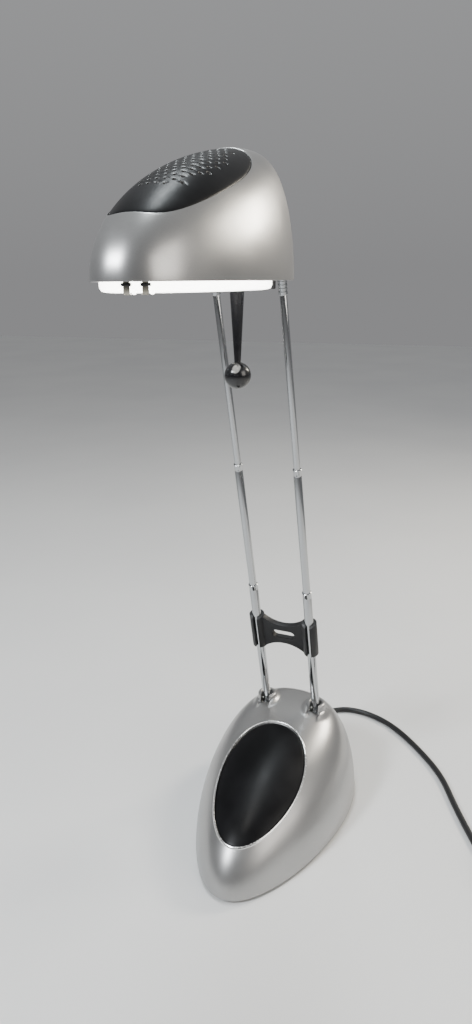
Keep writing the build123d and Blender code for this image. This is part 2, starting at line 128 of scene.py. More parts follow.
def egg_rim(egg, count, inset=0.0):
    """Points round the open edge of an egg dome, starting at the nose tip."""
    front, back, half = egg_limits(egg, 0.0, inset)
    turn = 2 * pi * np.arange(count) / count
    side = np.sin(turn)
    x = np.sign(side) * half * np.abs(side) ** egg["power"] * (1 - egg["skew"] * np.cos(turn))
    return np.stack([x, (front + back) / 2 - (back - front) / 2 * np.cos(turn)], axis=1)


def egg_height(egg, x, y, inset=0.0):
    """Height of the dome over plan points, by bisection on the climb angle."""
    low = np.zeros_like(x)
    high = np.full_like(x, pi / 2 - 1e-7)
    for _ in range(36):
        middle = (low + high) / 2
        front, back, half = egg_limits(egg, middle, inset)
        ratio = -(y - (front + back) / 2) / np.maximum((back - front) / 2, 1e-9)
        room = np.clip(1 - ratio ** 2, 0, None) ** (egg["power"] / 2)
        inside = np.abs(x) < half * room * (1 - egg["skew"] * ratio)
        low = np.where(inside, middle, low)
        high = np.where(inside, high, middle)
    return (egg["height"] - inset) * np.sin(low)


def egg_rays(egg, inner, outer, rows, inset=0.0, rise=None):
    """Rows of surface points between two plan outlines, evenly spaced along the surface."""
    count = len(inner)
    steps = 1 - (1 - np.linspace(0, 1, 420)) ** 3
    plan = inner[:, None, :] + (outer - inner)[:, None, :] * steps[None, :, None]
    z = egg_height(egg, plan[..., 0], plan[..., 1], inset)
    z[:, -1] = 0.0
    if rise is not None:
        z = z + rise(plan[..., 0], plan[..., 1])
    line = np.concatenate([plan, z[..., None]], axis=2)
    length = np.linalg.norm(np.diff(line, axis=1), axis=2)
    walked = np.concatenate([np.zeros((count, 1)), np.cumsum(length, axis=1)], axis=1)
    out = np.zeros((rows, count, 3))
    for i in range(count):
        at = np.linspace(0, walked[i, -1], rows)
        for axis in range(3):
            out[:, i, axis] = np.interp(at, walked[i], line[i, :, axis])
    return [out[k] for k in range(rows)]


# ---- mesh helpers ---------------------------------------------------------------
def finish_mesh(name, verts, faces, place=None, smooth=40):
    """Object from millimetre points; edges sharper than the angle stay crisp."""
    mesh = bpy.data.meshes.new(name)
    mesh.from_pydata([tuple(float(c) * MM for c in v) for v in verts], [], faces)
    if place is not None:
        mesh.transform(place)
    work = bmesh.new()
    work.from_mesh(mesh)
    bmesh.ops.remove_doubles(work, verts=work.verts, dist=2e-6)
    bmesh.ops.recalc_face_normals(work, faces=work.faces)
    work.to_mesh(mesh)
    work.free()
    mesh.shade_smooth()
    mesh.set_sharp_from_angle(angle=radians(smooth))
    piece = bpy.data.objects.new(name, mesh)
    bpy.context.scene.collection.objects.link(piece)
    return piece


def skin_rows(rows, close=False, cap_start=False, cap_end=False):
    """Vertices and quads joining rows of equal length that run round a ring."""
    count = len(rows[0])
    verts = [tuple(p) for row in rows for p in row]
    faces = []
    spans = len(rows) if close else len(rows) - 1
    for r in range(spans):
        here = r * count
        there = ((r + 1) % len(rows)) * count
        for i in range(count):
            j = (i + 1) % count
            faces.append((here + i, here + j, there + j, there + i))
    for wanted, row in ((cap_start, 0), (cap_end, len(rows) - 1)):
        if wanted:
            verts.append(tuple(np.mean(rows[row], axis=0)))
            for i in range(count):
                faces.append((row * count + i, row * count + (i + 1) % count, len(verts) - 1))
    return verts, faces


def lathe(name, profile, place=None, close=False, segments=64, smooth=40):
    """Turned piece about Z; the profile is (radius, height) pairs in millimetres."""
    turn = 2 * pi * np.arange(segments) / segments
    rows = [
        np.stack([r * np.cos(turn), r * np.sin(turn), np.full(segments, h)], axis=1)
        for r, h in profile
    ]
    verts, faces = skin_rows(rows, close, not close, not close)
    return finish_mesh(name, verts, faces, place, smooth)


def arc(centre_r, centre_h, radius, start, end, steps=8):
    """Profile points on an arc; angles in degrees, 0 along +radius, 90 along +height."""
    angles = [radians(start + (end - start) * k / steps) for k in range(steps + 1)]
    return [(centre_r + radius * cos(a), centre_h + radius * sin(a)) for a in angles]


def on_arm(side, distance=0.0):
    """Matrix of a point on an arm: Z along the arm, X across the lamp."""
    start = Vector((side * ARM_X, 0, PIVOT_Z)) + ARM_DIR * distance
    return Matrix.Translation(start * MM) @ Matrix.Rotation(LEAN, 4, "X")


def bevelled(name, source, width, segments=3, angle=30):
    """Copy of a CAD node's mesh with its hard edges rounded."""
    mesh = source.data.copy()
    mesh.name = name
    work = bmesh.new()
    work.from_mesh(mesh)
    bmesh.ops.remove_doubles(work, verts=work.verts, dist=1e-6)
    bmesh.ops.dissolve_limit(
        work, angle_limit=radians(1.0), verts=work.verts, edges=work.edges, delimit={"SHARP"})
    work.to_mesh(mesh)
    work.free()
    mesh.materials.clear()
    piece = bpy.data.objects.new(name, mesh)
    bpy.context.scene.collection.objects.link(piece)
    tool = piece.modifiers.new("edges", "BEVEL")
    tool.width = width * MM
    tool.segments = segments
    tool.limit_method = "ANGLE"
    tool.angle_limit = radians(angle)
    tool.harden_normals = False
    applied = bpy.data.meshes.new_from_object(
        piece.evaluated_get(bpy.context.evaluated_depsgraph_get()))
    piece.modifiers.clear()
    piece.data = applied
    applied.shade_smooth()
    applied.set_sharp_from_angle(angle=radians(35))
    return piece


def settle(piece, body, nodes, material):
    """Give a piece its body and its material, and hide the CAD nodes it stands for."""
    piece.data.materials.clear()
    piece.data.materials.append(material)
    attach(piece, body)
    if nodes:
        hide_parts(*nodes)
    return piece


# ---- materials ------------------------------------------------------------------
def shader(name, color, metallic, roughness, **sockets):
    """Principled material with its constant values set on the shader's own sockets."""
    material = bpy.data.materials.new(name)
    material.use_nodes = True
    node = material.node_tree.nodes["Principled BSDF"]
    node.inputs["Base Color"].default_value = (*color, 1)
    node.inputs["Metallic"].default_value = metallic
    node.inputs["Roughness"].default_value = roughness
    for socket, value in sockets.items():
        node.inputs[socket.replace("_", " ")].default_value = value
    return material


def texture(material, scale, detail=4.0, stretch=(1, 1, 1), kind="ShaderNodeTexNoise"):
    """A noise texture in object space, in cycles per metre."""
    nodes, links = material.node_tree.nodes, material.node_tree.links
    where = nodes.new("ShaderNodeTexCoord")
    fit = nodes.new("ShaderNodeMapping")
    fit.inputs["Scale"].default_value = stretch
    links.new(where.outputs["Object"], fit.inputs["Vector"])
    field = nodes.new(kind)
    field.inputs["Scale"].default_value = scale
    if kind == "ShaderNodeTexNoise":
        field.inputs["Detail"].default_value = detail
    links.new(fit.outputs["Vector"], field.inputs["Vector"])
    return field


def vary_roughness(material, field, low, high, at=(0.35, 0.65)):
    nodes, links = material.node_tree.nodes, material.node_tree.links
    ramp = nodes.new("ShaderNodeMapRange")
    ramp.inputs["From Min"].default_value = at[0]
    ramp.inputs["From Max"].default_value = at[1]
    ramp.inputs["To Min"].default_value = low
    ramp.inputs["To Max"].default_value = high
    links.new(field.outputs[0], ramp.inputs["Value"])
    links.new(ramp.outputs["Result"], nodes["Principled BSDF"].inputs["Roughness"])


def vary_color(material, field, first, second, at=(0.35, 0.65)):
    nodes, links = material.node_tree.nodes, material.node_tree.links
    ramp = nodes.new("ShaderNodeValToRGB")
    ramp.color_ramp.elements[0].position = at[0]
    ramp.color_ramp.elements[1].position = at[1]
    ramp.color_ramp.elements[0].color = (*first, 1)
    ramp.color_ramp.elements[1].color = (*second, 1)
    links.new(field.outputs[0], ramp.inputs["Fac"])
    links.new(ramp.outputs["Color"], nodes["Principled BSDF"].inputs["Base Color"])


def add_bump(material, field, strength, depth):
    nodes, links = material.node_tree.nodes, material.node_tree.links
    bump = nodes.new("ShaderNodeBump")
    bump.inputs["Strength"].default_value = strength
    bump.inputs["Distance"].default_value = depth
    links.new(field.outputs[0], bump.inputs["Height"])
    links.new(bump.outputs["Normal"], nodes["Principled BSDF"].inputs["Normal"])


def silver_paint():
    """Satin silver lacquer on moulded plastic: fine metal flake under a thin clear coat."""
    material = shader("silver_paint", (0.38, 0.377, 0.374), 0.85, 0.34, Coat_Weight=0.2,
                      Coat_Roughness=0.22)
    flake = texture(material, 5200, 2.0)
    vary_color(material, flake, (0.33, 0.327, 0.324), (0.43, 0.426, 0.422), (0.3, 0.7))
    add_bump(material, flake, 0.10, 0.00003)
    wear = texture(material, 26, 5.0)
    vary_roughness(material, wear, 0.29, 0.38)
    return material


def satin_black():
    """Fine-grained black moulding."""
    material = shader("satin_black", (0.004, 0.004, 0.005), 0.0, 0.36, Specular_IOR_Level=0.16)
    grain = texture(material, 3800, 3.0)
    add_bump(material, grain, 0.16, 0.00004)
    cloud = texture(material, 34, 4.0)
    vary_roughness(material, cloud, 0.31, 0.42)
    vary_color(material, cloud, (0.003, 0.003, 0.0035), (0.006, 0.006, 0.007))
    return material


def black_plastic():
    material = shader("black_plastic", (0.008, 0.008, 0.009), 0.0, 0.48, Specular_IOR_Level=0.4)
    grain = texture(material, 2600, 4.0)
    add_bump(material, grain, 0.25, 0.00005)
    cloud = texture(material, 60, 4.0)
    vary_roughness(material, cloud, 0.42, 0.55)
    return material


def gloss_black():
    """Polished black handle with a few faint rub marks."""
    material = shader("gloss_black", (0.004, 0.004, 0.005), 0.0, 0.22, Coat_Weight=0.25,
                      Coat_Roughness=0.15)
    smear = texture(material, 120, 5.0, (1, 1, 0.3))
    vary_roughness(material, smear, 0.17, 0.28)
    return material


def chrome():
    material = shader("chrome", (0.46, 0.47, 0.48), 1.0, 0.12)
    smear = texture(material, 220, 4.0, (1, 1, 0.12))
    vary_roughness(material, smear, 0.08, 0.17)
    draw = texture(material, 900, 2.0, (1, 1, 0.02))
    add_bump(material, draw, 0.05, 0.00002)
    return material


def plated(name, color, roughness):
    material = shader(name, color, 1.0, roughness)
    grain = texture(material, 700, 4.0)
    vary_roughness(material, grain, roughness * 0.8, roughness * 1.3)
    add_bump(material, grain, 0.08, 0.00002)
    return material


def soft_plastic(name, color, roughness, grain_scale=1800):
    material = shader(name, color, 0.0, roughness)
    grain = texture(material, grain_scale, 4.0)
    add_bump(material, grain, 0.2, 0.00004)
    vary_roughness(material, grain, roughness * 0.88, roughness * 1.12)
    return material


def opal_glass():
    """Frosted white glass, lit from inside."""
    material = shader("opal_glass", (0.92, 0.93, 0.92), 0.0, 0.42, Transmission_Weight=0.15,
                      IOR=1.48, Coat_Weight=0.25, Coat_Roughness=0.15)
    node = material.node_tree.nodes["Principled BSDF"]
    node.inputs["Emission Color"].default_value = (1.0, 0.985, 0.94, 1)
    node.inputs["Emission Strength"].default_value = 6.0
    frost = texture(material, 1500, 3.0)
    add_bump(material, frost, 0.12, 0.00004)
    return material


def quartz():
    material = shader("quartz", (1, 1, 1), 0.0, 0.03, Transmission_Weight=1.0, IOR=1.46)
    ripple = texture(material, 90, 2.0)
    add_bump(material, ripple, 0.05, 0.00005)
    return material


silver = silver_paint()
bright_ring = plated("bright_ring", (0.86, 0.86, 0.85), 0.24)
black = satin_black()
moulded = black_plastic()
# Painted light: the vent walls and chamfers get a lighter grey than the black cover, standing in
# for light catching them.
vent_rim_painted_light = soft_plastic("vent_rim_painted_light", (0.035, 0.033, 0.032), 0.4)
polished = gloss_black()
mirror = chrome()
spring = plated("spring_steel", (0.36, 0.34, 0.29), 0.28)
opal = opal_glass()
rubber = soft_plastic("black_rubber", (0.02, 0.02, 0.02), 0.75)
sheath = soft_plastic("black_pvc", (0.006, 0.006, 0.007), 0.42, 900)
plate_paint = soft_plastic("black_steel", (0.022, 0.022, 0.023), 0.55, 1300)
other = {
    "zinc_steel": plated("zinc_steel", (0.60, 0.60, 0.58), 0.30),
    "core_steel": soft_plastic("core_steel", (0.09, 0.085, 0.08), 0.5),
    "copper_winding": plated("copper_winding", (0.50, 0.20, 0.09), 0.35),
    "white_nylon": soft_plastic("white_nylon", (0.76, 0.75, 0.72), 0.45),
    "nickel": plated("nickel", (0.70, 0.67, 0.61), 0.18),
    "brass": plated("brass", (0.66, 0.47, 0.19), 0.25),
    "bright_aluminium": plated("bright_aluminium", (0.86, 0.86, 0.86), 0.16),
    "ceramic": soft_plastic("ceramic", (0.80, 0.78, 0.72), 0.6),
    "quartz": quartz(),
    "silver_paint": silver,
    "satin_black": black,
    "black_plastic": moulded,
    "black_steel": plate_paint,
    "black_rubber": rubber,
    "black_pvc": sheath,
    "chrome": mirror,
    "opal_glass": opal,
}
for entry in frame["record"]["subparts"]:
    cad_mesh = frame["nodes"][entry["node"]].data
    cad_mesh.materials.clear()
    cad_mesh.materials.append(other[entry["material_slot"]])

# ---- camera ---------------------------------------------------------------------
CAMERA_AT = Vector((0.1810, -0.5368, 0.4484))
HEADING = radians(23.42)
PITCH = radians(18.50)
ROLL = radians(-0.95)
camera_data = bpy.data.cameras.new("camera")
camera_data.lens = 25.38
camera_data.clip_start = 0.01
camera = bpy.data.objects.new("camera", camera_data)
bpy.context.scene.collection.objects.link(camera)
turn_down = Matrix.Rotation(pi / 2 - PITCH, 4, "X")
camera.matrix_world = (
    Matrix.Translation(CAMERA_AT) @ Matrix.Rotation(HEADING, 4, "Z") @ turn_down
    @ Matrix.Rotation(ROLL, 4, "Z"))
bpy.context.scene.camera = camera

# ---- cord -----------------------------------------------------------------------
CORD_ROUTE = [
    (0.0, 0.074, 0.010), (-0.001, 0.092, 0.0044), (0.0085, 0.109, 0.0028),
    (0.0255, 0.1185, 0.0028), (0.049, 0.117, 0.0028), (0.075, 0.105, 0.0028),
    (0.103, 0.079, 0.0028), (0.131, 0.046, 0.0028), (0.149, 0.006, 0.0028),
    (0.170, -0.033, 0.0028),
]
TAIL_ROUTE = [(0.260, -0.036, 0.0095), (0.258, -0.012, 0.0034), PLUG_AT]
COIL_CENTRE = (0.2228, -0.0569)
COIL_OUTER = 0.0354
COIL_INNER = 0.0219


def coil_points():
    """Three layers of turns: in along the table, out on top of them, and once round again."""
    layers = [0.0028, 0.0083, 0.0137]
    stages = [
        (2.5, COIL_OUTER, COIL_INNER, layers[0], layers[0]),
        (0.5, COIL_INNER, COIL_INNER, layers[0], layers[1]),
        (2.5, COIL_INNER, COIL_OUTER, layers[1], layers[1]),
        (0.5, COIL_OUTER, COIL_OUTER, layers[1], layers[2]),
        (1.42, COIL_OUTER, COIL_OUTER - 0.004, layers[2], layers[2]),
    ]
    angle = radians(208)
    step = 2 * pi / 20
    points = []
    for turns, r_from, r_to, z_from, z_to in stages:
        count = round(turns * 2 * pi / step)
        for k in range(count):
            part = k / count
            r = r_from + (r_to - r_from) * part
            z = z_from + (z_to - z_from) * (part * part * (3 - 2 * part))
            x = COIL_CENTRE[0] + r * cos(angle)
            points.append((x, COIL_CENTRE[1] + r * sin(angle), z))
            angle += step
    return points


def make_cord():
    curve = bpy.data.curves.new("mains_cord", "CURVE")
    curve.dimensions = "3D"
    curve.bevel_depth = CORD_D / 2 * MM
    curve.bevel_resolution = 6
    curve.resolution_u = 8
    curve.use_fill_caps = True
    points = CORD_ROUTE + coil_points() + TAIL_ROUTE
    spline = curve.splines.new("NURBS")
    spline.points.add(len(points) - 1)
    for point, place in zip(spline.points, points):
        point.co = (*place, 1)
    spline.order_u = 3
    spline.use_endpoint_u = True
    cord = bpy.data.objects.new("mains_cord", curve)
    bpy.context.scene.collection.objects.link(cord)
    return settle(cord, "base", ["cord_run", "cord_coil", "cord_tail"], sheath)


def make_strain_relief():
    """Tapered sleeve with flex grooves where the cord leaves the base."""
    groove_count, groove_pitch, taper = 7, 2.6, 0.17
    profile = [(2.75, 74.2), (3.3, 74.2), (3.7, 73.8)]
    for k in range(groove_count):
        y = 71.8 - k * groove_pitch
        r = 3.8 + k * taper
        profile += [(r, y + 0.9), (r + 0.02, y), (r - 0.75, y - 0.35), (r - 0.73, y - 1.15)]
    profile += [(5.1, 53.2), (5.6, 52.6), (5.6, 49.2), (4.2, 48.8), (4.2, 44.2), (2.75, 44.0)]
    place = Matrix.Translation((0, 0, 0.010)) @ Matrix.Rotation(-pi / 2, 4, "X")
    piece = lathe("strain_relief", profile, place, close=True, smooth=30)
    return settle(piece, "base", ["cord_gland"], sheath)


def make_plug():
    """Flat two-pin plug: superellipse sections from the cord end to the waisted pin end."""
    sections = [
        (0.0, 4.2, 4.2, 2.0), (0.6, 4.8, 4.8, 2.0), (6.0, 5.6, 5.4, 2.2), (11.0, 8.5, 5.9, 2.5),
        (16.0, 12.6, 6.3, 3.0), (22.0, 16.4, 6.6, 3.6), (27.0, 17.5, 6.8, 4.0),
        (31.5, 17.6, 6.8, 4.0), (33.3, 17.2, 6.5, 4.0), (34.0, 16.2, 5.7, 4.0),
    ]
    turn = 2 * pi * np.arange(72) / 72
    rows = []
    for y, half_x, half_z, power in sections:
        x = half_x * np.sign(np.cos(turn)) * np.abs(np.cos(turn)) ** (2 / power)
        z = half_z * np.sign(np.sin(turn)) * np.abs(np.sin(turn)) ** (2 / power)
        rows.append(np.stack([x, np.full(72, y), z], axis=1))
    verts, faces = skin_rows(rows, False, True, True)
    place = Matrix.Translation(PLUG_AT) @ Matrix.Rotation(PLUG_TURN, 4, "Z")
    body = finish_mesh("plug", verts, faces, place, 50)
    settle(body, "base", ["plug_body"], sheath)
    pins = []
    for side, label in ((-1, "left"), (1, "right")):
        shape = [(2.0, 33.8), (2.0, 43.0), (1.95, 43.2), (1.95, 50.6)]
        shape += arc(0.0, 50.6, 1.95, 0, 80, 5)
        at = place @ Matrix.Translation((side * 0.0095, 0, 0)) @ Matrix.Rotation(-pi / 2, 4, "X")
        pin = lathe("plug_pin_" + label, shape, at)
        settle(pin, "base", ["plug_pins"] if side < 0 else [], other["nickel"])
        pins.append(pin)
    return [body] + pins


def make_tie():
    """Flat strap round the coil."""
    mid_r = (COIL_OUTER + COIL_INNER) / 2 / MM
    half_w, half_h, corner, off_table = 10.2, 8.1, 4.2, 0.85
    path = []
    for cx, cz, start in ((1, 1, 0), (-1, 1, 90), (-1, -1, 180), (1, -1, 270)):
        for k in range(7):
            a = radians(start + 15 * k)
            path.append((cx * (half_w - corner) + corner * cos(a),
                         cz * (half_h - corner) + corner * sin(a)))
    rows = []
    for v, grow in ((-2.6, 0.0), (-3.0, 0.4), (-2.6, 0.8), (2.6, 0.8), (3.0, 0.4), (2.6, 0.0)):
        rows.append(np.array([
            (x * (1 + grow / half_w) + mid_r, v, z * (1 + grow / half_h) + half_h + off_table)
            for x, z in path]))
    verts, faces = skin_rows(rows, True)
    place = (Matrix.Translation((*COIL_CENTRE, 0)) @ Matrix.Rotation(pi / 2, 4, "Z"))
    piece = finish_mesh("tie", verts, faces, place)
    return settle(piece, "base", ["cord_tie"], moulded)


cord = make_cord()
relief = make_strain_relief()
tie = make_tie()
plug_pieces = make_plug()


# ---- base -----------------------------------------------------------------------
def step_down(value, at, blend):
    """1 well below the value's limit, 0 well above it."""
    return 1 / (1 + np.exp(np.clip((value - at) / blend, -60, 60)))


def socket_well(x, y):
    """Pocket of the shell under each socket, so the arm's end has room to swing."""
    depth, radius, edge = 7.0, 7.2, 0.15
    return sum(
        -depth * step_down(np.hypot(x - side * ARM_X, y), radius, edge) for side in (-1, 1))


def boss_rise(x, y):
    """Soft swelling of the shell round the sockets, grooved in front of each arm."""
    height, radius, blend, groove_half = 3.0, 10.4, 0.8, 4.9
    rise = socket_well(x, y)
    for side in (-1, 1):
        across = x - side * ARM_X
        swelling = height * step_down(np.hypot(across, (y + 2.0) / 1.2), radius, blend)
        groove = step_down(np.abs(across), groove_half, 0.3) * step_down(y, -1.0, blend)
        rise = rise + swelling * (1 - groove)
    return rise


def make_base_shell():
    """Dome with a bevelled opening for the insert, closed all round by its inner surface."""
    count = SHELL_COUNT
    outer = egg_rays(BASE_EGG, plan_points(BASE_INSERT, count, 1.3), egg_rim(BASE_EGG, count),
                     150, 0.0, boss_rise)
    rim = egg_rim(BASE_EGG, count)
    rim_in = egg_rim(BASE_EGG, count, BASE_WALL)
    foot = [
        np.column_stack([rim + (rim_in - rim) * 0.12, np.zeros(count)]),
        np.column_stack([rim + (rim_in - rim) * 0.9, np.zeros(count)]),
    ]
    inner = egg_rays(BASE_EGG, plan_points(BASE_INSERT, count), rim_in, 60, BASE_WALL,
                     socket_well)[::-1]
    edge = plan_points(BASE_INSERT, count)
    lip_z = egg_height(BASE_EGG, edge[:, 0], edge[:, 1])
    lip = [
        np.column_stack([edge, lip_z - 1.7]),
        np.column_stack([edge, lip_z - 1.0]),
        np.column_stack([plan_points(BASE_INSERT, count, 0.25), lip_z - 0.62]),
    ]
    outer[-1][:, 2] = 0.25
    verts, faces = skin_rows(outer + foot + inner + lip, True)
    place = Matrix.Translation((0, 0, BASE_BOTTOM * MM))
    piece = finish_mesh("base_dome", verts, faces, place, 32)
    return settle(piece, "base", ["base_shell"], silver)


def make_cover_ring():
    """Fine bright bead that frames the black cover of the base."""
    rows = []
    for grow, lift in ((1.6, -1.0), (1.6, 0.3), (1.4, 0.66), (0.95, 0.84), (0.5, 0.72),
                       (0.2, 0.36), (0.12, -1.0)):
        ring = plan_points(BASE_INSERT, SHELL_COUNT, grow)
        z = egg_height(BASE_EGG, ring[:, 0], ring[:, 1])
        rows.append(np.column_stack([ring, z + lift]))
    verts, faces = skin_rows(rows, True)
    piece = finish_mesh("cover_ring", verts, faces, Matrix.Translation((0, 0, BASE_BOTTOM * MM)))
    return settle(piece, "base", [], bright_ring)


def insert_rows(egg, plan, count, drop, thickness):
    """Closed plate that follows an egg dome, with a rounded edge."""
    rows = []
    centre = np.array([0.0, (plan["front"] + plan["back"]) / 2])
    outline = plan_points(plan, count, -0.25)
    for part in list(np.linspace(0.04, 0.9, 22)) + [0.94, 0.97, 0.985]:
        flat = centre + (outline - centre) * part
        rows.append(np.column_stack([flat, egg_height(egg, flat[:, 0], flat[:, 1]) - drop]))
    for grow, extra in ((-0.75, 0.08), (-0.4, 0.28), (-0.25, 0.6), (-0.25, thickness)):
        flat = plan_points(plan, count, grow)
        z = egg_height(egg, flat[:, 0], flat[:, 1])
        rows.append(np.column_stack([flat, z - drop - extra]))
    for part in (0.9, 0.5, 0.1):
        flat = centre + (outline - centre) * part
        z = egg_height(egg, flat[:, 0], flat[:, 1])
        rows.append(np.column_stack([flat, z - drop - thickness]))
    return rows


def make_base_insert():
    rows = insert_rows(BASE_EGG, BASE_INSERT, COVER_COUNT, 0.75, 2.0)
    verts, faces = skin_rows(rows, False, True, True)
    place = Matrix.Translation((0, 0, BASE_BOTTOM * MM))
    piece = finish_mesh("base_cover", verts, faces, place, 50)
    return settle(piece, "base", ["base_insert"], black)


def make_socket(side):
    """Cup of an arm socket: a round well for the arm's end, notched towards the front."""
    top = SOCKET_TOP
    profile = [(12.6, top - 17.0), (12.2, top - 12.6), (10.6, top - 11.4), (9.4, top - 9.6),
               (8.8, top - 7.0), (8.5, top - 4.0)]
    profile += arc(6.4, top - 2.1, 2.1, 5, 90, 7) + arc(6.3, top - 1.4, 1.4, 90, 175, 5)
    profile += [(SOCKET_WELL_R, top - 5.0), (SOCKET_WELL_R, top - 13.0), (3.0, top - 14.0),
                (0.05, top - 14.0), (0.05, top - 17.0)]
    collar = lathe("collar", profile, None, close=True, segments=96)
    notch = box_faces((-SOCKET_NOTCH_HALF, -30, PIVOT_Z - 1.0), (SOCKET_NOTCH_HALF, 0, top + 9))
    cutter = finish_mesh("cutter", *notch)
    tool = collar.modifiers.new("slot", "BOOLEAN")
    tool.object = cutter
    tool.solver = "EXACT"
    edge = collar.modifiers.new("edge", "BEVEL")
    edge.width = 0.6 * MM
    edge.segments = 3
    edge.angle_limit = radians(38)
    mesh = bpy.data.meshes.new_from_object(
        collar.evaluated_get(bpy.context.evaluated_depsgraph_get()))
    bpy.data.objects.remove(cutter)
    bpy.data.objects.remove(collar)
    mesh.transform(Matrix.Translation((side * ARM_X * MM, 0, 0)))
    mesh.shade_smooth()
    mesh.set_sharp_from_angle(angle=radians(45))
    label = "left" if side < 0 else "right"
    piece = bpy.data.objects.new("socket_collar_" + label, mesh)
    bpy.context.scene.collection.objects.link(piece)
    return settle(piece, "base", ["arm_socket_" + label], silver)


def box_faces(low, high):
    """Corner points and faces of a plain box, used as a cutting tool."""
    corners = [(x, y, z) for x in (low[0], high[0]) for y in (low[1], high[1])
               for z in (low[2], high[2])]
    faces = [(0, 1, 3, 2), (4, 6, 7, 5), (0, 4, 5, 1), (2, 3, 7, 6), (0, 2, 6, 4), (1, 5, 7, 3)]
    return corners, faces


def make_bottom_plate():
    """Dark plate with a rounded edge that shows as a thin line under the shell."""
    count = 200
    top = PLATE_Z + 2.4
    section = [(30.0, PLATE_Z), (3.4, PLATE_Z), (3.0, 1.9), (2.9, 2.4), (3.0, 3.7), (3.4, top),
               (30.0, top)]
    rows = [np.column_stack([egg_rim(BASE_EGG, count, inset), np.full(count, z)])
            for inset, z in section]
    verts, faces = skin_rows(rows, False, True, True)
    piece = finish_mesh("bottom_plate", verts, faces, None, 35)
    return settle(piece, "base", ["base_plate"], plate_paint)


def make_feet():
    """Low rubber pads with a rounded edge and a shallow dish."""
    for number, (x, y) in enumerate(FOOT_POINTS, 1):
        profile = [(0.1, PLATE_Z), (FOOT_R, PLATE_Z), (FOOT_R, 0.5)]
        profile += arc(FOOT_R - 0.5, 0.5, 0.5, 0, -90, 4)
        profile += [(4.4, 0.0), (3.9, 0.25), (0.1, 0.3)]
        foot = lathe(f"foot_{number}", profile, Matrix.Translation((x * MM, y * MM, 0)), True)
        settle(foot, "base", ["rubber_feet"] if number == 1 else [], rubber)


def make_switch():
    housing = bevelled("switch_bezel", frame["nodes"]["switch_housing"], 0.5)
    settle(housing, "base", ["switch_housing"], moulded)
    key = bevelled("switch_key", frame["nodes"]["switch_rocker"], 0.45)
    settle(key, "rocker", ["switch_rocker"], polished)


make_base_shell()
make_cover_ring()
make_base_insert()
for arm_side in (-1, 1):
    make_socket(arm_side)
make_bottom_plate()
make_feet()
make_switch()


# ---- telescopic arms --------------------------------------------------------------
def tube_profile(outer, inner, throat, low, high):
    """Drawn tube whose top is crimped: a shallow groove, then a lip rolled inwards."""
    r = outer / 2
    return [
        (r, low), (r, high - 6.4), (r - 0.28, high - 6.0), (r - 0.28, high - 5.1),
        (r, high - 4.7), (r, high - 1.8), (r + 0.24, high - 1.3), (r + 0.2, high - 0.5),
        (r - 0.22, high - 0.05), (throat + 0.12, high), (throat, high - 0.2),
        (throat, high - 2.2), (inner / 2, high - 3.0), (inner / 2, low),
    ]


def make_arm(side):
    label = "left" if side < 0 else "right"
    lower = lathe(
        "lower_tube_" + label + "_skin",
        tube_profile(LOWER_OD, LOWER_ID, MIDDLE_OD / 2 + RUNNING, TUBE_START, LOWER_TOP),
        on_arm(side), True)
    settle(lower, "lower_arms", ["lower_tube_" + label], mirror)
    middle = lathe(
        "middle_tube_" + label + "_skin",
        tube_profile(MIDDLE_OD, MIDDLE_ID, UPPER_R + RUNNING, MIDDLE_BOTTOM, MIDDLE_TOP),
        on_arm(side), True)
    settle(middle, "middle_arms", ["middle_tube_" + label], mirror)
    upper = lathe("upper_tube_" + label + "_skin", [
        (UPPER_R, UPPER_BOTTOM), (UPPER_R, UPPER_TOP - 0.4), (2.2, UPPER_TOP),
        (UPPER_BORE_R, UPPER_TOP - 0.4), (UPPER_BORE_R, UPPER_BOTTOM)], on_arm(side), True)
    settle(upper, "upper_arms", ["upper_tube_" + label], mirror)
    eye_shape = [(0.1, -4.55)] + arc(0, 0, 4.6, -80, 50, 14)
    eye_shape += [(2.9, 4.4), (3.2, 5.2), (3.25, 17.8), (0.1, 18.0)]
    flatten = Matrix.Scale(0.76, 4, (1, 0, 0))
    eye = lathe("pivot_ball_" + label, eye_shape, on_arm(side) @ flatten)
    settle(eye, "lower_arms", ["arm_eye_" + label], mirror)
    make_tip(side, label)


def make_tip(side, label):
    """Grooved ferrule that ends in the eye of the head hinge."""
    low = UPPER_TOP - 0.8
    r, groove_r = 2.9, 2.35
    profile = [(0.1, low), (2.5, low), (r, low + 0.5), (r, low + 2.0)]
    for groove in (low + 2.2, low + 4.4, low + 6.6, low + 8.8):
        profile += [(r, groove), (groove_r, groove + 0.25), (groove_r, groove + 0.75),
                    (r, groove + 1.0)]
    profile += [(r, low + 11.2), (2.6, low + 12.0), (0.1, low + 12.6)]
    ferrule = lathe("tip_ferrule_" + label, profile, on_arm(side), smooth=30)
    settle(ferrule, "upper_arms", ["arm_tip_" + label], mirror)
    place = on_arm(side, TIP) @ Matrix.Rotation(pi / 2, 4, "Y")
    ring = [(1.6, -2.3), (2.8, -2.3), (3.2, -1.9), (3.2, 1.9), (2.8, 2.3), (1.6, 2.3)]
    eye = lathe("tip_eye_" + label, ring, place, True)
    settle(eye, "upper_arms", [], mirror)


for arm_side in (-1, 1):
    make_arm(arm_side)
spacer = bevelled("spacer", frame["nodes"]["spacer_clip"], 0.7)
settle(spacer, "spacer", ["spacer_clip"], moulded)


# ---- head -------------------------------------------------------------------------
HEAD_AT = (
    Matrix.Translation((0, -TIP * sin(LEAN) * MM, (PIVOT_Z + TIP * cos(LEAN)) * MM))
    @ Matrix.Rotation(HEAD_PITCH, 4, "X")
    @ Matrix.Translation((0, -PIVOT_IN_HEAD[0] * MM, -PIVOT_IN_HEAD[1] * MM)))


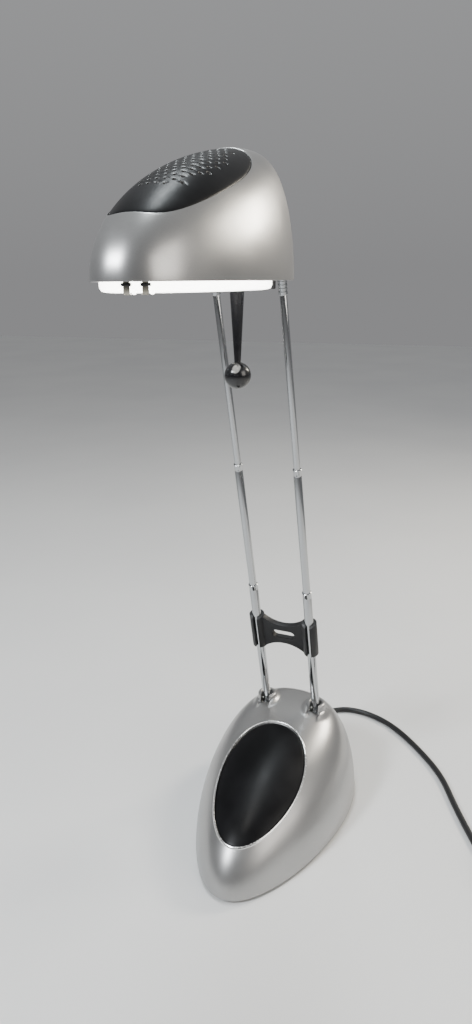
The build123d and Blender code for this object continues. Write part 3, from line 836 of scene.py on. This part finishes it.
def make_head_shell():
    count = SHELL_COUNT
    outer = egg_rays(HEAD_EGG, plan_points(HEAD_INSERT, count, 0.8), egg_rim(HEAD_EGG, count), 110)
    rim = egg_rim(HEAD_EGG, count)
    rim_in = egg_rim(HEAD_EGG, count, HEAD_WALL)
    outer[-1][:, 2] = 0.5
    foot = [
        np.column_stack([rim + (rim_in - rim) * 0.1, np.full(count, 0.15)]),
        np.column_stack([rim + (rim_in - rim) * 0.3, np.full(count, 0.0)]),
        np.column_stack([rim + (rim_in - rim) * 0.8, np.full(count, 0.0)]),
    ]
    inner = egg_rays(HEAD_EGG, plan_points(HEAD_INSERT, count), rim_in, 50, HEAD_WALL)[::-1]
    edge = plan_points(HEAD_INSERT, count)
    lip_z = egg_height(HEAD_EGG, edge[:, 0], edge[:, 1])
    lip = [
        np.column_stack([edge, lip_z - 1.2]),
        np.column_stack([edge, lip_z - 0.6]),
        np.column_stack([plan_points(HEAD_INSERT, count, 0.2), lip_z - 0.3]),
    ]
    verts, faces = skin_rows(outer + foot + inner + lip, True)
    piece = finish_mesh("head_dome", verts, faces, HEAD_AT, 32)
    return settle(piece, "head", ["head_shell"], silver)


def vent_points():
    """Staggered vent pattern inside a blunt oval field of the insert."""
    points = []
    for row in range(-9, 10):
        offset = VENT_PITCH_X / 2 if row % 2 else 0.0
        for column in range(-4, 5):
            x = column * VENT_PITCH_X + offset
            y = row * VENT_PITCH_Y
            across = abs(x / VENT_FIELD[0]) ** VENT_FIELD_POWER
            along = abs(y / VENT_FIELD[1]) ** VENT_FIELD_POWER
            if across + along < 1:
                points.append((x, VENT_FIELD_Y + y))
    return points


def make_head_insert():
    """Black cover pierced by round vents: a triangulated plan laid on the egg surface."""
    vents = vent_points()
    plan, rings = [], []
    edges = []
    outline = [plan_points(HEAD_INSERT, VENT_COVER_COUNT, grow)
               for grow in (-0.25, -0.55, -1.1, -2.2, -4.0)]
    for ring in outline:
        first = len(plan)
        plan += [tuple(p) for p in ring]
        edges += [(first + i, first + (i + 1) % len(ring)) for i in range(len(ring))]
    for x, y in vents:
        for radius in (VENT_R, VENT_R + VENT_CHAMFER):
            first = len(plan)
            plan += [(x + radius * cos(2 * pi * k / VENT_COUNT),
                      y + radius * sin(2 * pi * k / VENT_COUNT)) for k in range(VENT_COUNT)]
            edges += [(first + k, first + (k + 1) % VENT_COUNT) for k in range(VENT_COUNT)]
    border = plan_points(HEAD_INSERT, VENT_COVER_COUNT, -5.5)
    for row in range(-44, 44):
        for column in range(-12, 13):
            x = column * 2.4 + (1.2 if row % 2 else 0)
            y = (HEAD_INSERT["front"] + HEAD_INSERT["back"]) / 2 + row * 2.1
            clear = all((x - a) ** 2 + (y - b) ** 2 > (VENT_R + 0.9) ** 2 for a, b in vents)
            if clear and inside_outline(x, y, border):
                plan.append((x, y))
    verts2, _, faces2, _, _, _ = delaunay_2d_cdt(
        [Vector(p) for p in plan], edges, [], 0, 1e-5)
    flat = np.array([(v.x, v.y) for v in verts2])
    kept = []
    for face in faces2:
        x, y = flat[list(face)].mean(axis=0)
        if not inside_outline(x, y, outline[0]):
            continue
        if any((x - a) ** 2 + (y - b) ** 2 < (VENT_R * 0.93) ** 2 for a, b in vents):
            continue
        kept.append(tuple(face))
    return plate_from_plan("head_cover", flat, kept, vents)


def inside_outline(x, y, ring):
    """Even-odd test of a point against a closed outline."""
    x1, y1 = ring[:, 0], ring[:, 1]
    x2, y2 = np.roll(x1, -1), np.roll(y1, -1)
    crosses = (y1 > y) != (y2 > y)
    at = x1 + (y - y1) * (x2 - x1) / np.where(y2 == y1, 1e-9, y2 - y1)
    return bool(np.count_nonzero(crosses & (x < at)) % 2)


def plate_from_plan(name, flat, faces, vents):
    """Lift a flat triangulation to the dome and give it thickness and eased edges."""
    used = sorted({i for face in faces for i in face})
    index = {old: new for new, old in enumerate(used)}
    flat = flat[used]
    faces = [tuple(index[i] for i in face) for face in faces]
    top = egg_height(HEAD_EGG, flat[:, 0], flat[:, 1]) - 0.45
    for grow, extra in ((-0.25, 0.55), (-0.55, 0.2), (-1.1, 0.04)):
        ring = plan_points(HEAD_INSERT, VENT_COVER_COUNT, grow)
        near = np.min(np.hypot(flat[:, None, 0] - ring[None, :, 0],
                               flat[:, None, 1] - ring[None, :, 1]), axis=1) < 0.05
        top = np.where(near, top - extra, top)
    centres = np.array(vents)
    to_vent = np.min(np.hypot(flat[:, None, 0] - centres[None, :, 0],
                              flat[:, None, 1] - centres[None, :, 1]), axis=1)
    top = np.where(to_vent < VENT_R + 0.05, top - 0.18, top)
    count = len(flat)
    verts = [(x, y, z) for (x, y), z in zip(flat, top)]
    verts += [(x, y, z - COVER_THICKNESS) for (x, y), z in zip(flat, top)]
    sides = dict.fromkeys(
        pair for face in faces for pair in zip(face, face[1:] + face[:1]))
    walls = [(a, b, b + count, a + count) for a, b in sides if (b, a) not in sides]
    bottom = [tuple(i + count for i in reversed(face)) for face in faces]
    piece = finish_mesh(name, verts, list(faces) + bottom + walls, HEAD_AT, 38)
    settle(piece, "head", ["head_insert"], black)
    # Faces round each vent take the lighter grey material, which is painted light on the vents.
    piece.data.materials.append(vent_rim_painted_light)
    to_head = HEAD_AT.inverted()
    for polygon in piece.data.polygons:
        at = (to_head @ polygon.center) / MM
        near = np.min(np.hypot(centres[:, 0] - at.x, centres[:, 1] - at.y))
        polygon.material_index = int(near < VENT_R + 0.2)
    return piece


def make_glass():
    """Shallow frosted tray: rounded lower corner, slightly crowned floor, open on top."""
    count = GLASS_COUNT
    rows = []
    corner = [(-0.25, 1.7), (-0.9, 0.8), (-2.0, 0.25), (-3.6, 0.0)]
    for grow, z in [(-2.3, 1.9), (-1.6, 2.2), (-0.5, 2.1), (0.0, 1.6), (0.0, 2.8 - GLASS_DROP)]:
        rows.append(np.column_stack([plan_points(GLASS_PLAN, count, grow), np.full(count, z)]))
    for grow, above in corner:
        z = above - GLASS_DROP + 0.25
        rows.append(np.column_stack([plan_points(GLASS_PLAN, count, grow), np.full(count, z)]))
    centre = np.array([0.0, (GLASS_PLAN["front"] + GLASS_PLAN["back"]) / 2])
    ring = plan_points(GLASS_PLAN, count, -5.5)
    for part in (1.0, 0.9, 0.78, 0.62, 0.45, 0.28, 0.1):
        z = 0.1 - GLASS_DROP - 0.6 * (1 - part ** 2)
        rows.append(np.column_stack([centre + (ring - centre) * part, np.full(count, z)]))
    for part in (0.1, 0.45, 0.9):
        z = 2.5 - GLASS_DROP - 0.5 * (1 - part ** 2)
        rows.append(np.column_stack([centre + (ring - centre) * part, np.full(count, z)]))
    for grow, above in ((-4.6, 2.8), (-3.1, 3.6), (-2.5, 4.6)):
        z = above - GLASS_DROP
        rows.append(np.column_stack([plan_points(GLASS_PLAN, count, grow), np.full(count, z)]))
    verts, faces = skin_rows(rows, True)
    piece = finish_mesh("opal_cover", verts, faces, HEAD_AT, 45)
    return settle(piece, "head", ["glass_cover"], opal)


def on_glass_edge(turn, out=0.0):
    """Matrix on the glass edge: X along the edge, -Y outwards."""
    centre = (GLASS_PLAN["front"] + GLASS_PLAN["back"]) / 2
    reach = (GLASS_PLAN["back"] - GLASS_PLAN["front"]) / 2
    x = GLASS_PLAN["half"] * sin(turn) * (1 - GLASS_PLAN["skew"] * cos(turn))
    heading = atan2(reach * sin(turn), GLASS_PLAN["half"] * cos(turn))
    place = Matrix.Translation((x * MM, (centre - reach * cos(turn)) * MM, 0))
    turned = HEAD_AT @ place @ Matrix.Rotation(heading, 4, "Z")
    return turned @ Matrix.Translation((0, -out * MM, 0))


def make_glass_clips():
    """Spring strips on the nose of the glass: a foot under its edge and a roll at the top."""
    path = [(0.55, 3.0), (0.55, -2.0), (0.65, 0.6 - GLASS_DROP), (0.2, -0.1 - GLASS_DROP),
            (-0.9, -0.5 - GLASS_DROP), (-2.0, -0.4 - GLASS_DROP)]
    for number, turn in enumerate(CLIP_TURNS, 1):
        rows = []
        for k, (out, z) in enumerate(path):
            before = path[max(k - 1, 0)]
            after = path[min(k + 1, len(path) - 1)]
            along = Vector((after[0] - before[0], after[1] - before[1])).normalized()
            thick = Vector((along.y, -along.x)) * 0.25
            rows.append(np.array([
                (-1.5, -out - thick.x, z + thick.y), (1.5, -out - thick.x, z + thick.y),
                (1.5, -out + thick.x, z - thick.y), (-1.5, -out + thick.x, z - thick.y)]))
        verts, faces = skin_rows(rows, False, True, True)
        clip = finish_mesh(f"glass_spring_{number}", verts, faces, on_glass_edge(turn), 60)
        settle(clip, "head", ["glass_clips"] if number == 1 else [], spring)
        roll_place = on_glass_edge(turn, 1.1) @ Matrix.Rotation(pi / 2, 4, "Y")
        roll_at = Matrix.Translation((0, 0, -0.0012))
        roll = lathe(f"spring_roll_{number}",
                     [(0.1, -2.3), (0.6, -2.3), (0.75, -2.1), (0.75, 2.1), (0.6, 2.3), (0.1, 2.3)],
                     roll_at @ roll_place, segments=24)
        settle(roll, "head", [], moulded)
        nib_at = Matrix.Translation((0, 0, -GLASS_DROP * MM))
        nib = lathe(f"glass_nib_{number}",
                    [(1.2, 1.4), (1.2, 0.6)] + arc(0, 0.6, 1.2, 0, -85, 8),
                    on_glass_edge(turn + 0.09, -1.9) @ nib_at, segments=32)
        settle(nib, "head", [], opal)


def make_glass_stop():
    """Small black catch at the rear of the glass, one on each side."""
    for side, label in ((-1, "left"), (1, "right")):
        verts, faces = box_faces((-2.6, -0.9, 0.4 - GLASS_DROP), (2.6, 1.6, 2.6))
        place = on_glass_edge(side * 2.35, 1.2)
        catch = finish_mesh("glass_catch_" + label, verts, faces, place)
        rounded = bevelled("glass_catch_edge_" + label, catch, 0.5)
        bpy.data.objects.remove(catch)
        settle(rounded, "head", [], moulded)


def make_handle():
    """Tapered rod with a collar under the glass, ending in a ball."""
    top = 0.1 - GLASS_DROP
    bottom = -GLASS_DROP - HANDLE_LENGTH
    profile = [(0.1, top + 3.0), (2.0, top + 3.0), (2.0, top + 0.2), (5.4, top + 0.2),
               (5.6, top - 0.3), (5.4, top - 0.9), (4.4, top - 1.3)]
    profile += [(4.35, top - 3.0), (2.05, bottom + 1.0), (2.3, bottom - 0.5), (0.1, bottom - 1.0)]
    place = HEAD_AT @ Matrix.Translation((0, HANDLE_Y * MM, 0))
    rod = lathe("handle_stem", profile, place)
    settle(rod, "head", ["handle_rod"], polished)
    centre = 1.0 - GLASS_DROP - HANDLE_LENGTH - BALL_R
    ball = lathe("handle_knob", arc(0, centre, BALL_R, -89.5, 89.5, 40), place, smooth=60)
    settle(ball, "head", ["handle_ball"], polished)


make_head_shell()
make_head_insert()
make_glass()
make_glass_clips()
make_glass_stop()
make_handle()
hinge = bevelled("hinge_chassis", frame["nodes"]["head_chassis"], 0.4)
settle(hinge, "head", ["head_chassis"], moulded)


# ---- floor and light ----------------------------------------------------------------
def make_floor():
    half = 4.0
    corners = [(-half, -half, 0), (half, -half, 0), (half, half, 0), (-half, half, 0)]
    mesh = bpy.data.meshes.new("floor")
    mesh.from_pydata(corners, [], [(0, 1, 2, 3)])
    floor = bpy.data.objects.new("floor", mesh)
    bpy.context.scene.collection.objects.link(floor)
    paint = shader("floor_paint", (0.78, 0.78, 0.77), 0.0, 0.55)
    grain = texture(paint, 3, 3.0)
    vary_color(paint, grain, (0.76, 0.76, 0.76), (0.80, 0.80, 0.795))
    mesh.materials.append(paint)


def area_light(name, place, target, size, power, color=(1, 1, 1)):
    data = bpy.data.lights.new(name, "AREA")
    data.shape = "RECTANGLE"
    data.size, data.size_y = size
    data.energy = power
    data.color = color
    light = bpy.data.objects.new(name, data)
    bpy.context.scene.collection.objects.link(light)
    light.location = place
    light.rotation_euler = (Vector(target) - Vector(place)).to_track_quat("-Z", "Y").to_euler()


def make_world():
    """Soft studio surround: brighter overhead and towards the back of the room."""
    world = bpy.data.worlds.new("studio")
    world.use_nodes = True
    nodes, links = world.node_tree.nodes, world.node_tree.links
    where = nodes.new("ShaderNodeTexCoord")
    split = nodes.new("ShaderNodeSeparateXYZ")
    ramp = nodes.new("ShaderNodeValToRGB")
    ramp.color_ramp.elements[0].position = 0.0
    ramp.color_ramp.elements[0].color = (0.42, 0.42, 0.43, 1)
    ramp.color_ramp.elements[1].position = 0.75
    ramp.color_ramp.elements[1].color = (0.70, 0.71, 0.72, 1)
    links.new(where.outputs["Generated"], split.inputs["Vector"])
    links.new(split.outputs["Z"], ramp.inputs["Fac"])
    falloff = nodes.new("ShaderNodeMapRange")
    falloff.inputs["From Min"].default_value = -0.9
    falloff.inputs["From Max"].default_value = 0.5
    falloff.inputs["To Min"].default_value = 0.28
    falloff.inputs["To Max"].default_value = 0.62
    links.new(split.outputs["Y"], falloff.inputs["Value"])
    links.new(ramp.outputs["Color"], nodes["Background"].inputs["Color"])
    links.new(falloff.outputs["Result"], nodes["Background"].inputs["Strength"])
    bpy.context.scene.world = world


make_floor()
middle = (0.0, -0.06, 0.25)
area_light("key", (-0.55, -1.0, 1.1), middle, (0.28, 0.28), 18, (0.92, 0.96, 1.0))
area_light("fill", (1.25, -0.35, 0.85), middle, (0.8, 0.8), 8, (1.0, 0.95, 0.88))
area_light("rim", (0.58, 0.72, 0.85), (0.02, 0.0, 0.08), (0.25, 0.25), 9, (1.0, 0.93, 0.80))
area_light("top", (-0.13, 0.10, 1.25), (0.0, -0.07, 0.06), (0.14, 0.3), 5, (0.9, 0.97, 1.0))
make_world()
